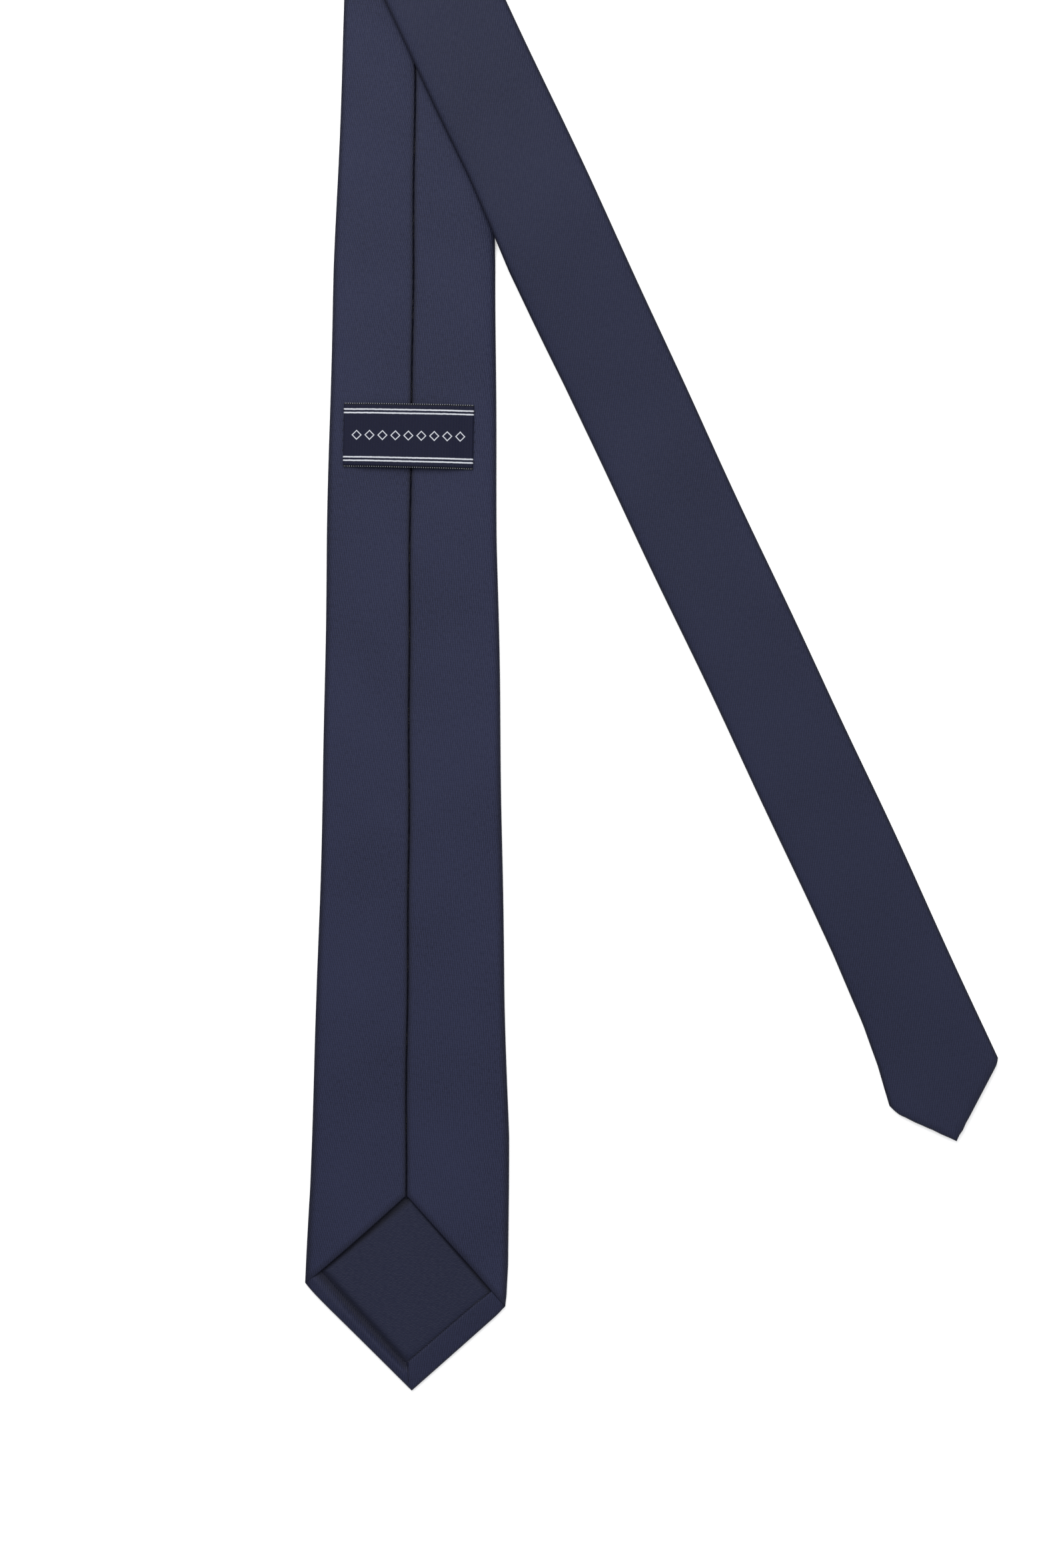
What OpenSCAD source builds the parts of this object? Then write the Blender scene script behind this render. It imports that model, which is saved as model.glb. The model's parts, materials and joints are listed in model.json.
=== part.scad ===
// Slim self-tipped necktie, laid flat with its seam side up and folded over once at the neck.
// It is drawn unfolded, front side down, along a path measured in millimetres from the wide point.
// Everything past the fold is then turned over, so that the tail lies on top, front side up.

/* [Length] */
// Whole length, from the wide point to the tail point
tie_length = 1480; // [1460:5:1500]
// Straight run of the wide blade, from its point to where the tail crosses it
blade_run = 428; // [420:1:436]
// Straight run of the tail, from the crossing to its point
tail_run = 389; // [383:1:395]
// Angle between the two blades
splay = 25.2; // [23:0.1:27]

/* [Cross section] */
// Thickness of the finished tie
thick = 3; // [2.8:0.1:3.4]
// Thickness of the shell cloth
cloth = 0.4; // [0.3:0.05:0.45]
// Half width of the neck, and of the tail up to its last stretch
neck_half = 16; // [15:0.5:17]
// Width of the slit between the two back flaps
slit = 0.3; // [0.2:0.1:0.6]

/* [Ends] */
// Where the back seam opens into the wide end's lining, from the wide point
wide_apex = 57; // [50:1:64]
// Width of the turned hem along the wide point
wide_hem = 6; // [4:0.5:7]
// Where the back seam opens into the tail's lining, from the tail point
tail_apex = 36; // [32:1:42]
// Width of the turned hem along the tail point
tail_hem = 4.5; // [3:0.5:5]

/* [Keeper loop] */
// Length of the woven keeper band, across the blade
keeper_w = 38.2; // [34:0.2:42]
// Width of the keeper band, along the blade
keeper_l = 19.4; // [15:0.2:25]
// Distance from the wide point to the middle of the keeper
keeper_at = 281; // [240:1:300]
// Height of the slot under the band that the tail is tucked through
keeper_gap = 1.4; // [1:0.1:2.5]
// Thickness of the band
keeper_t = 0.5; // [0.4:0.1:0.7]

/* [Bends] */
// Distance from the wide point to the line where the wide end lifts
lift_at = 326; // [320:1:328]
// Distance past the crossing of the line where the tail end lifts
tail_lift_at = 116; // [114:1:120]
// Height of the fold at the neck, over both layers
fold_height = 9.3; // [8.5:0.1:11]
// Clearance between two lengths that bend against each other
bend_gap = 0.3; // [0.2:0.05:0.5]

/* [Hidden] */

navy = [0.13, 0.14, 0.24];
navy_lining = [0.15, 0.16, 0.26];
interlining_grey = [0.78, 0.77, 0.72];
thread_navy = [0.08, 0.09, 0.18];
band_navy = [0.11, 0.12, 0.22];

// The unseen neck is one gentle curve on each side of the fold.
leg = (tie_length - blade_run - tail_run) / 2;
leg_radius = leg / (splay * PI / 180);
fold_at = blade_run + leg;
tail_bend_at = fold_at + leg + tail_lift_at;
tail_end_length = tie_length - tail_bend_at;
join_1 = 650;
join_2 = 930;
station_step = 14;

// Distances of the two edges from the centre line, as the blade tapers to the neck.
left_half = [[31, 31.3], [75, 29.2], [115, 27.9], [175, 26.3], [250, 24.8], [330, 22.9],
             [409, 19.8], [520, 17.4], [640, neck_half], [tie_length - 50, neck_half],
             [tie_length - 19, neck_half + 3.3]];
right_half = [[24, 28.2], [75, 28.6], [115, 27.5], [175, 26.3], [250, 25], [330, 24.8],
              [409, 23], [520, 18.6], [640, neck_half], [tie_length - 16, neck_half - 0.7]];
seam_line = [[0, -1.6], [wide_apex, -1.6], [281, -0.2], [387, 1.2], [520, 0], [tie_length, 0]];

// End shapes as [across, along from the point]: left corner, point, right corner.
wide_end = [[-31.3, 31.4], [0, 0], [28.2, 24.5]];
tail_end = [[-19.3, 18.5], [-6.2, 0], [15.3, 16.3]];

// Layer heights inside the shell.
lining_top = thick - cloth - 0.02;
lining_bottom = lining_top - 0.38;
core_bottom = cloth + 0.05;
core_top = lining_bottom - 0.08;
core_margin = 0.3;
thread = 0.3;
seam_ease = 0.1;
join_edge = thread / 2 + seam_ease;
over = 1;

function lower_centre(s) = s <= blade_run ? [0, s]
    : let(turn = (s - blade_run) / leg_radius * 180 / PI)
      [-leg_radius * (1 - cos(turn)), blade_run + leg_radius * sin(turn)];
function lower_heading(s) = s <= blade_run ? 90 : 90 + (s - blade_run) / leg_radius * 180 / PI;

fold_point = lower_centre(fold_at);
function centre(s) = s <= fold_at ? lower_centre(s) : 2 * fold_point - lower_centre(2 * fold_at - s);
function heading(s) = s <= fold_at ? lower_heading(s) : lower_heading(2 * fold_at - s);
// A place on the tie, from its distance along and its distance across, right positive.
function place(s, u) = centre(s) + u * [sin(heading(s)), -cos(heading(s))];

// Distance across of an edge (-1 left, 0 seam, 1 right), moved by off.
function across(edge, off, s) =
    edge < 0 ? off - lookup(s, left_half) : edge > 0 ? off + lookup(s, right_half)
    : off + lookup(s, seam_line);
// Points along one edge, between two cuts that lean by k.
function edge_points(edge, off, s0, k0, s1, k1) =
    let(a = s0 + k0 * across(edge, off, s0), b = s1 + k1 * across(edge, off, s1),
        n = ceil((b - a) / station_step))
    [for (i = [0:n]) let(s = a + (b - a) * i / n) place(s, across(edge, off, s))];
function reversed(list) = [for (i = [len(list) - 1:-1:0]) list[i]];
function ribbon(e0, off0, e1, off1, s0, k0, s1, k1) =
    concat(edge_points(e0, off0, s0, k0, s1, k1), reversed(edge_points(e1, off1, s0, k0, s1, k1)));

// An end shape shrunk by d, and put on the path. The tail's end is measured back from its point.
function shrunk(shape, d) = [shape[0] + d * [1, 0.42], shape[1] + d * [0, 1.41],
                             shape[2] + d * [-1, 0.42]];
function at_wide(p) = place(p[1], p[0]);
function at_tail(p) = place(tie_length - p[1], p[0]);

function wide_outline(d, s1) =
    concat([for (p = reversed(shrunk(wide_end, d))) at_wide(p)],
           edge_points(-1, d, wide_end[0][1] + 2, 0, s1, 0),
           reversed(edge_points(1, -d, wide_end[2][1] + 2, 0, s1, 0)));
function tail_outline(d, s0) =
    concat(edge_points(-1, d, s0, 0, tie_length - tail_end[0][1] - 2, 0),
           [for (p = shrunk(tail_end, d)) at_tail(p)],
           reversed(edge_points(1, -d, s0, 0, tie_length - tail_end[2][1] - 2, 0)));

// The strip of hem along an end's two edges, run on under the flaps, and the lining inside it.
function hem_points(shape, w) =
    let(b = shrunk(shape, w), run_on = 0.3)
    [shape[0], shape[1], shape[2], b[2] + run_on * (b[2] - b[1]), b[1], b[0] + run_on * (b[0] - b[1])];
function lining_points(shape, w, apex) =
    let(b = shrunk(shape, w + thread + 2 * seam_ease)) [b[0], b[1], b[2], [lookup(0, seam_line), apex + 8]];
function opening_points(shape, apex) =
    [shape[0] + [-9, 0], shape[0] + [-9, -60], shape[2] + [9, -60], shape[2] + [9, 0],
     [lookup(0, seam_line), apex]];
function seam_points(shape, w) =
    let(a = shrunk(shape, w + seam_ease), b = shrunk(shape, w + seam_ease + thread))
    [a[0], a[1], a[2], b[2], b[1], b[0]];

// The neck's fold line, and how the upper layer slopes from it down to the table.
fold_turn = splay / 2;
fold_axis = [cos(fold_turn), sin(fold_turn), 0];
fold_lean = -tan(fold_turn);
fold_centre = [fold_point[0], fold_point[1], fold_height / 2];
fold_to_bend = 2 * leg_radius * sin(fold_turn) + tail_lift_at * cos(fold_turn);
ride_height = thick + 0.15;
floor_gap = 0.05;
upper_tilt = asin((fold_height - thick - ride_height) / fold_to_bend);
hem_drop = ride_height + thick - lining_top - floor_gap;
tail_tilt = asin(hem_drop / tail_end_length) - upper_tilt * cos(fold_turn);
tail_bend_point = [centre(tail_bend_at)[0], centre(tail_bend_at)[1], 0];

// The origin is under the middle of the laid tie.
left_limit = fold_point[0] - neck_half;
tail_corner_u = lookup(tie_length, right_half);
tail_corner_d = tail_run - tail_end[2][1];
right_limit = tail_corner_d * sin(splay) + tail_corner_u * cos(splay);
top_limit = fold_point[1] + neck_half * sin(fold_turn);
origin = [(left_limit + right_limit) / 2, top_limit / 2];

module laid() { translate([-origin[0], -origin[1], 0]) children(); }
module turned_over() {
    laid() translate(fold_centre) rotate(a = 180 + upper_tilt, v = fold_axis)
        translate(-fold_centre) children();
}
module tail_end_laid() {
    turned_over() translate(tail_bend_point) rotate([tail_tilt, 0, 0])
        translate(-tail_bend_point) children();
}
module layer(points, z0, z1) {
    translate([0, 0, z0]) linear_extrude(height = z1 - z0) polygon(points);
}

// A length of shell cloth: a flat tube, open at both ends, slit along its back seam.
module tube(s0, k0, s1, k1) {
    difference() {
        layer(ribbon(-1, 0, 1, 0, s0, k0, s1, k1), 0, thick);
        layer(ribbon(-1, cloth, 1, -cloth, s0 - over, k0, s1 + over, k1), cloth, thick - cloth);
        layer(ribbon(0, -slit / 2, 0, slit / 2, s0 - over, k0, s1 + over, k1), thick / 2,
              thick + over);
    }
}
module core(s0, k0, s1, k1) {
    margin = cloth + core_margin;
    color(interlining_grey)
        layer(ribbon(-1, margin, 1, -margin, s0, k0, s1, k1), core_bottom, core_top);
}
module stitch_line(s0, k0, s1, k1) {
    color(thread_navy)
        layer(ribbon(0, -thread / 2, 0, thread / 2, s0, k0, s1, k1), lining_bottom, lining_top);
}
// The thread that joins two lengths of shell on a 45 degree line.
module join_thread(s) {
    color(thread_navy)
        layer(ribbon(-1, cloth, 1, -cloth, s - thread / 2, 1, s + thread / 2, 1), 0, cloth);
}

wide_cut = lift_at - bend_gap / 2;
root_cut = lift_at + bend_gap / 2;
fold_near = fold_at - bend_gap / 2;
fold_far = fold_at + bend_gap / 2;
leg_cut = tail_bend_at - bend_gap / 2;
tail_cut = tail_bend_at + bend_gap / 2;

module wide_shell_lower() {
    color(navy) laid() {
        difference() {
            layer(wide_outline(0, wide_cut), 0, thick);
            layer(wide_outline(cloth, wide_cut + over), cloth, thick - cloth);
            layer(ribbon(0, -slit / 2, 0, slit / 2, wide_apex - over, 0, wide_cut + over, 0),
                  thick / 2, thick + over);
            layer([for (p = opening_points(wide_end, wide_apex)) at_wide(p)],
                  thick - cloth, thick + over);
        }
        intersection() {
            layer([for (p = hem_points(wide_end, wide_hem)) at_wide(p)],
                  lining_bottom, lining_top);
            layer(wide_outline(cloth / 2, wide_cut), 0, thick);
        }
    }
}
module wide_tipping() {
    color(navy_lining) laid()
        layer([for (p = lining_points(wide_end, wide_hem, wide_apex)) at_wide(p)],
              lining_bottom, lining_top);
}
module wide_tipping_seam() {
    color(thread_navy) laid()
        layer([for (p = seam_points(wide_end, wide_hem)) at_wide(p)],
              lining_bottom, lining_top);
}
module wide_interlining() {
    color(interlining_grey) laid()
        layer(wide_outline(cloth + core_margin, wide_cut), core_bottom, core_top);
}
module wide_slip_stitch() { laid() stitch_line(wide_apex + 10, 0, wide_cut, 0); }

module keeper_loop() {
    foot = 3;
    rise = 6;
    half = keeper_w / 2;
    t = keeper_t;
    g = keeper_gap;
    section = [[-half, 0], [-half + foot, 0], [-half + foot + rise, g],
               [half - foot - rise, g], [half - foot, 0], [half, 0],
               [half, t], [half - foot, t], [half - foot - rise, g + t],
               [-half + foot + rise, g + t], [-half + foot, t], [-half, t]];
    color(band_navy) keeper_place() translate([0, keeper_l / 2, 0])
        rotate([90, 0, 0]) linear_extrude(height = keeper_l) polygon(section);
}
module keeper_place() {
    keeper_shift = -0.9;
    keeper_turn = -1;
    laid() translate([keeper_shift, keeper_at, thick]) rotate([0, 0, keeper_turn]) children();
}
// One row of small tacks along each short end of the band.
module keeper_stitches() {
    tacks = 6;
    tack = [0.6, 1.2, 0.3];
    pitch = (keeper_l - 4) / (tacks - 1);
    color(thread_navy) keeper_place()
        for (side = [-1, 1], i = [0:tacks - 1])
            translate([side * (keeper_w / 2 + tack[0] / 2) - tack[0] / 2,
                       (i - (tacks - 1) / 2) * pitch - tack[1] / 2, 0])
                cube(tack);
}

module wide_shell_upper() { color(navy) laid() tube(root_cut, 0, join_1 - join_edge, 1); }
module neck_shell_lower() { color(navy) laid() tube(join_1 + join_edge, 1, fold_near, fold_lean); }
module blade_join_seam() { laid() join_thread(join_1); }
module neck_interlining_lower() { laid() core(root_cut, 0, fold_near, fold_lean); }
module neck_slip_stitch_lower() { laid() stitch_line(root_cut, 0, fold_near, fold_lean); }

module neck_shell_upper() {
    color(navy) turned_over() tube(fold_far, fold_lean, join_2 - join_edge, 1);
}
module tail_join_seam() { turned_over() join_thread(join_2); }
module tail_shell_upper() { color(navy) turned_over() tube(join_2 + join_edge, 1, leg_cut, 0); }
module neck_interlining_upper() { turned_over() core(fold_far, fold_lean, leg_cut, 0); }
module neck_slip_stitch_upper() { turned_over() stitch_line(fold_far, fold_lean, leg_cut, 0); }

module tail_shell_lower() {
    color(navy) tail_end_laid() {
        difference() {
            layer(tail_outline(0, tail_cut), 0, thick);
            layer(tail_outline(cloth, tail_cut - over), cloth, thick - cloth);
            layer(ribbon(0, -slit / 2, 0, slit / 2, tail_cut - over, 0,
                         tie_length - tail_apex + over, 0), thick / 2, thick + over);
            layer([for (p = opening_points(tail_end, tail_apex)) at_tail(p)],
                  thick - cloth, thick + over);
        }
        intersection() {
            layer([for (p = hem_points(tail_end, tail_hem)) at_tail(p)],
                  lining_bottom, lining_top);
            layer(tail_outline(cloth / 2, tail_cut), 0, thick);
        }
    }
}
module tail_tipping() {
    color(navy_lining) tail_end_laid()
        layer([for (p = lining_points(tail_end, tail_hem, tail_apex)) at_tail(p)],
              lining_bottom, lining_top);
}
module tail_tipping_seam() {
    color(thread_navy) tail_end_laid()
        layer([for (p = seam_points(tail_end, tail_hem)) at_tail(p)],
              lining_bottom, lining_top);
}
module tail_interlining() {
    color(interlining_grey) tail_end_laid()
        layer(tail_outline(cloth + core_margin, tail_cut), core_bottom, core_top);
}
module tail_slip_stitch() {
    tail_end_laid() stitch_line(tail_cut, 0, tie_length - tail_apex - 10, 0);
}

wide_shell_lower();
wide_tipping();
wide_tipping_seam();
wide_interlining();
wide_slip_stitch();
keeper_loop();
keeper_stitches();
wide_shell_upper();
neck_shell_lower();
blade_join_seam();
neck_interlining_lower();
neck_slip_stitch_lower();
neck_shell_upper();
tail_join_seam();
tail_shell_upper();
neck_interlining_upper();
neck_slip_stitch_upper();
tail_shell_lower();
tail_tipping();
tail_tipping_seam();
tail_interlining();
tail_slip_stitch();
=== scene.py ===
"""Builds the looks of a slim satin necktie, laid flat and folded once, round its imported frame."""
import json
import math

import bmesh
import bpy
from bpy.props import FloatProperty, PointerProperty, StringProperty
from mathutils import Matrix, Vector
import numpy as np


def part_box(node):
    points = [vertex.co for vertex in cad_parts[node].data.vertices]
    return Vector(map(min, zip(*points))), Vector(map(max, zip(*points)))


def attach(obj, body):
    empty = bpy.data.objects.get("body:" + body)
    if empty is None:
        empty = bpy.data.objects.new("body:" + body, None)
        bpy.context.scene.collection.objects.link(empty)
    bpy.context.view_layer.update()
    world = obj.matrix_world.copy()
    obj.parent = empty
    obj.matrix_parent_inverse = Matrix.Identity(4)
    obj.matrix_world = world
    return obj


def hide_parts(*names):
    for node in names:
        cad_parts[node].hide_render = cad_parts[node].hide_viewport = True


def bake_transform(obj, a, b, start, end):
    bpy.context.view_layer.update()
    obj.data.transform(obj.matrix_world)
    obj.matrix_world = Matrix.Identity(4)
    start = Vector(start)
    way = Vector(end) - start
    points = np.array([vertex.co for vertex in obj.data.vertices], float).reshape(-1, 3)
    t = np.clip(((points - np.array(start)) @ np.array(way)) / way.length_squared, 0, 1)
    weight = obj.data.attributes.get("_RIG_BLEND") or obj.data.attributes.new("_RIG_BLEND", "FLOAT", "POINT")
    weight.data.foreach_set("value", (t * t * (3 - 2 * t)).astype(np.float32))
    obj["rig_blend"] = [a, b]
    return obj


bl_info = {
    "name": "Satin necktie",
    "version": (1, 0, 0),
    "blender": (4, 5, 0),
    "location": "3D View > Sidebar > Necktie",
    "description": "Models a self-tipped satin necktie, its keeper loop and its stitching",
    "category": "Add Mesh",
}

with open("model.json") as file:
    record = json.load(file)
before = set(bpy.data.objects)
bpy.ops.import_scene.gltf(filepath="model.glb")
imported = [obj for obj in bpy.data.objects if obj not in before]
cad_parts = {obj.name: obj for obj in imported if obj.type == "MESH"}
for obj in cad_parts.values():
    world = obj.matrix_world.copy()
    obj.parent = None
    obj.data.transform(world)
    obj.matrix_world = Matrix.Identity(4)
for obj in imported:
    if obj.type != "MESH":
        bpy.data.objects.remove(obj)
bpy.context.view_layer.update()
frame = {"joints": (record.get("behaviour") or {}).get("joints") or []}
JOINTS = {joint["name"]: joint for joint in frame["joints"]}

# Working lengths are in millimetres and the user's own sizes in metres. A mesh gets metres at
# the very end.
MM = 0.001

# The tie's path on the table, worked out from the frame's hinges. The tie is described unfolded,
# front side down, by the distance along it from the wide point and the distance across it.
FOLD_AXIS = -Vector(JOINTS["neck_fold"]["axis"])
FOLD_CENTRE = Vector(JOINTS["neck_fold"]["pos_m"]) / MM
FOLD_OUT = Vector((-FOLD_AXIS.y, FOLD_AXIS.x, 0.0))
FOLD_TURN = math.atan2(FOLD_AXIS.y, FOLD_AXIS.x)
SPLAY = 2 * FOLD_TURN
POINT = Vector((JOINTS["blade_lift"]["pos_m"][0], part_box("wide_shell_lower")[0].y, 0.0)) / MM
LEG_RADIUS = (POINT.x - FOLD_CENTRE.x) / (1 - math.cos(SPLAY))
LEG = LEG_RADIUS * SPLAY
BLADE_RUN = FOLD_CENTRE.y - POINT.y - LEG_RADIUS * math.sin(SPLAY)
FOLD_AT = BLADE_RUN + LEG
CROSSING = POINT + Vector((0.0, BLADE_RUN, 0.0))
TAIL_DIRECTION = Vector((math.sin(SPLAY), -math.cos(SPLAY), 0.0))
TAIL_BEND = Vector(JOINTS["tail_lift"]["pos_m"]) / MM
TAIL_BEND_ALONG = (TAIL_BEND - CROSSING).dot(TAIL_DIRECTION)
BEND_REACH = -(TAIL_BEND - FOLD_CENTRE).dot(FOLD_OUT)
UPPER_TILT = math.asin((2 * FOLD_CENTRE.z - TAIL_BEND.z) / BEND_REACH)
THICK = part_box("wide_shell_lower")[1].z / MM

# Half widths along the tie, and the line of the back seam, as (along, across).
LENGTH = 1480.0
NECK_HALF = 16.0
LEFT_HALF = [(24, 31.6), (31, 31.3), (42, 30.7), (60, 29.7), (75, 29.2), (115, 27.9), (175, 26.3),
             (250, 24.8), (330, 22.9), (409, 19.8), (520, 17.4), (640, NECK_HALF),
             (LENGTH - 340, 15.8), (LENGTH - 318, 15.6), (LENGTH - 302, 16.1), (LENGTH - 287, 16.6),
             (LENGTH - 272, 16.3), (LENGTH - 250, 15.8), (LENGTH - 65, 15.6), (LENGTH - 43, 16.2),
             (LENGTH - 30, 17.5), (LENGTH - 18, 19.5)]
RIGHT_HALF = [(24, 27.3), (28, 27.8), (37, 28.3), (75, 28.6), (115, 27.5), (175, 26.3),
              (250, 25.0), (330, 24.8), (409, 23.0), (520, 18.6), (640, NECK_HALF), (LENGTH - 480, 16.4),
              (LENGTH - 430, 16.8), (LENGTH - 300, 16.5), (LENGTH - 150, 16.0), (LENGTH - 100, 15.8),
              (LENGTH - 16, 15.3)]
BACK_SEAM = [(0, -1.6), (57, -1.6), (281, -0.2), (387, 1.2), (520, 0), (LENGTH, 0)]
BLADE_JOIN = 650.0
TAIL_JOIN = 930.0

# Each end as (across, along from the point) of its two corners and its point, with the place
# where the flaps open, the width of the turned hem on either side at its point and at its
# corner, and how much each corner is rounded.
WIDE_END = {"left": (-31.5, 31.3), "point": (0.0, 0.0), "right": (27.3, 24.3),
            "apex": 57.0, "hem": ((4.3, 6.5), (7.1, 6.5)), "round": (0.5, 0.5)}
TAIL_END = {"left": (-19.5, 15.7), "point": (-6.2, 0.0), "right": (15.4, 16.2),
            "apex": 36.0, "hem": ((4.5, 4.5), (4.5, 4.5)), "round": (2.0, 0.8)}

# The cross section: how square its edges are, and the turned edges of the two back flaps.
SQUARENESS = 6.0
SEAM_GAP = 0.03
TURN_RADIUS = 0.46
FLOOR_CLEAR = 0.03
# The left hem laps over the right one this far out, as a share of the half width.
LAP_AT = 0.037


def lookup(table, at):
    """The value of a (place, value) table at a place, straight between its entries."""
    if at <= table[0][0]:
        return table[0][1]
    for (a, x), (b, y) in zip(table, table[1:]):
        if at <= b:
            return x + (y - x) * (at - a) / (b - a)
    return table[-1][1]


def smooth(t):
    """0 below 0, 1 above 1, and a soft step between."""
    t = min(1.0, max(0.0, t))
    return t * t * (3 - 2 * t)


def lower_centre(along):
    """The centre line's place and heading, up to the fold."""
    if along <= BLADE_RUN:
        return Vector((POINT.x, POINT.y + along)), 0.0
    turn = (along - BLADE_RUN) / LEG_RADIUS
    x = POINT.x - LEG_RADIUS * (1 - math.cos(turn))
    return Vector((x, CROSSING.y + LEG_RADIUS * math.sin(turn))), turn


def beside(centre, turn, across, z):
    """A place at a distance across from a point of the centre line."""
    return Vector((centre.x + across * math.cos(turn), centre.y + across * math.sin(turn), z))


def before_fold(along, across, z):
    """A place on the lower leg, whose curve may be carried on past the fold's middle."""
    centre, turn = lower_centre(along)
    return beside(centre, turn, across, z)


def past_fold(along, across, z):
    """A place on the upper leg while the tie lies unfolded. Its curve mirrors the lower leg's."""
    mirrored, turn = lower_centre(2 * FOLD_AT - along)
    return beside(2 * FOLD_CENTRE.xy - mirrored, turn, across, z)


TURN_OVER = (Matrix.Translation(FOLD_CENTRE)
             @ Matrix.Rotation(math.pi + UPPER_TILT, 4, FOLD_AXIS)
             @ Matrix.Translation(-FOLD_CENTRE))


# The tail leaves the wide blade this far past the crossing, falls over this length, and then
# rests this high above the table. LAYER_GAP parts the two layers where they touch.
TAIL_LEAVES = 84.0
TAIL_FALL = 80.0
TAIL_REST = 0.12
LAYER_GAP = 0.15


def draped(place):
    """A place on the upper layer, lowered to the table past the edge of the wide blade."""
    along = (place - CROSSING).dot(TAIL_DIRECTION)
    slope = math.cos(FOLD_TURN) * math.sin(UPPER_TILT)
    height = THICK + LAYER_GAP + (TAIL_BEND_ALONG - along) * slope
    lowered = (height - TAIL_REST) * smooth((along - TAIL_LEAVES) / TAIL_FALL)
    return place - Vector((0.0, 0.0, lowered))


def laid(along, across, z, arc=None):
    """A place on the laid tie. arc is an angle round the neck's fold, from -90 to 90 degrees."""
    if arc is not None:
        reach = FOLD_CENTRE.z - z
        place = FOLD_CENTRE + FOLD_AXIS * (across / math.cos(FOLD_TURN))
        place += FOLD_OUT * (reach * math.cos(arc))
        place.z = FOLD_CENTRE.z + reach * math.sin(arc)
        return place
    if along <= FOLD_AT:
        return before_fold(along, across, z)
    return draped(TURN_OVER @ past_fold(along, across, z))


# --- The cloth's cross section -------------------------------------------------------------------

def section_columns():
    """Columns across the cloth, as (face, side, share, off, drop), from the left flap's turned
    edge, along that flap, round the front and back to the right flap's turned edge. share runs
    from 0 at the seam or the centre to 1 at the side edge."""
    tail_point = TAIL_END["point"][0] / TAIL_END["left"][0]
    flat = [0.018, 0.034, 0.040, 0.08, 0.16, 0.24, tail_point, 0.40, 0.49, 0.58]
    angles = (77, 71, 64, 57, 50, 43, 36, 29, 22, 15, 7, 0)
    rolled = [math.cos(math.radians(angle)) ** (2 / SQUARENESS) for angle in angles]
    left = [("back", -1, 0.0, -d, 2 * TURN_RADIUS) for d in (6.5, 4.5, 2.5)]
    for step in range(7):
        angle = math.radians(-90 + 180 * step / 6)
        left.append(("back", -1, 0.0, TURN_RADIUS * (math.cos(angle) - 1) - SEAM_GAP,
                     TURN_RADIUS * (1 - math.sin(angle))))
    left += [("back", -1, f, -(TURN_RADIUS + SEAM_GAP) * (1 - f), 0.0) for f in flat + rolled]
    front = [("front", -1, f, 0.0, 0.0) for f in reversed(flat + rolled[:-1])]
    half = left + front
    middle = [("front", -1, 0.0, 0.0, 0.0)]
    right = [(face, 1, f, -off, drop) for face, side, f, off, drop in reversed(half)]
    return half + middle + right


COLUMNS = section_columns()


def half_width(side, along):
    """The tie's half width on one side, with the slight unevenness of pressed cloth."""
    uneven = 0.16 * math.sin(along / 31.0 + side) + 0.10 * math.sin(along / 11.7 + 2 * side)
    return lookup(LEFT_HALF if side < 0 else RIGHT_HALF, along) + uneven


def seam_at(along):
    """Where the back seam runs, with the slight wander of two hand-folded edges."""
    wander = 0.10 * math.sin(along / 8.3) + 0.12 * math.sin(along / 23.0 + 1.0)
    return lookup(BACK_SEAM, along) + wander


def thickness(along):
    """The finished tie's thickness. Both ends are thinner, where the interlining stops."""
    thinned, reach = 0.35, 40.0
    from_end = min(along, LENGTH - along)
    return THICK - thinned + thinned * smooth(from_end / reach)


def across_of(column, along):
    """Distance across of a column."""
    face, side, share, off, _ = column
    edge = side * half_width(side, along)
    if face == "front":
        return edge * share
    seam = seam_at(along)
    return seam + (edge - seam) * share + off


def height_of(column, along, inset=0.0):
    """Height of a column's outer surface, moved inwards by inset."""
    face, side, share, _, drop = column
    half = thickness(along) / 2
    swell = half * math.sqrt(max(0.0, 1 - share ** SQUARENESS))
    centre = FLOOR_CLEAR + half
    if face == "front":
        return centre - swell + min(inset, 0.8 * swell)
    wave = 0.10 * math.sin(along / 47.0 + 1.3 * share) + 0.07 * math.sin(along / 19.0 - 2 * share)
    crest = 0.12 * math.sin(math.pi * share)
    # The two folded edges dip towards each other at the seam.
    dip = 0.16 * math.exp(-(share * half_width(side, along) / 1.7) ** 2)
    level = centre + swell + (wave + crest - dip) * min(1.0, swell / half)
    return level - min(drop + inset, 1.6 * swell)


def developed(column, along):
    """Distance across on the cloth's own flat pattern, for the weave."""
    face, side, _, off, drop = column
    width = half_width(side, along)
    across = across_of(column, along)
    if face == "front":
        return across
    turned = 2 * abs(off) if drop > TURN_RADIUS else 0.0
    return side * (2 * width - abs(across - lookup(BACK_SEAM, along)) + turned)


# --- Rows along the cloth ------------------------------------------------------------------------

ROW_STEP = 2.4
# The rows round the neck's fold, and the cloth that each radian of it takes up.
FOLD_ROWS = 12
FOLD_CLOTH = 3.0
# Rows beside a join seam, as (distance from it, how far the cloth is drawn in).
JOIN_ROWS = [(0.02, 1.0), (0.06, 0.55), (0.22, 0.26), (0.5, 0.11), (0.9, 0.04), (1.5, 0.0)]


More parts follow.
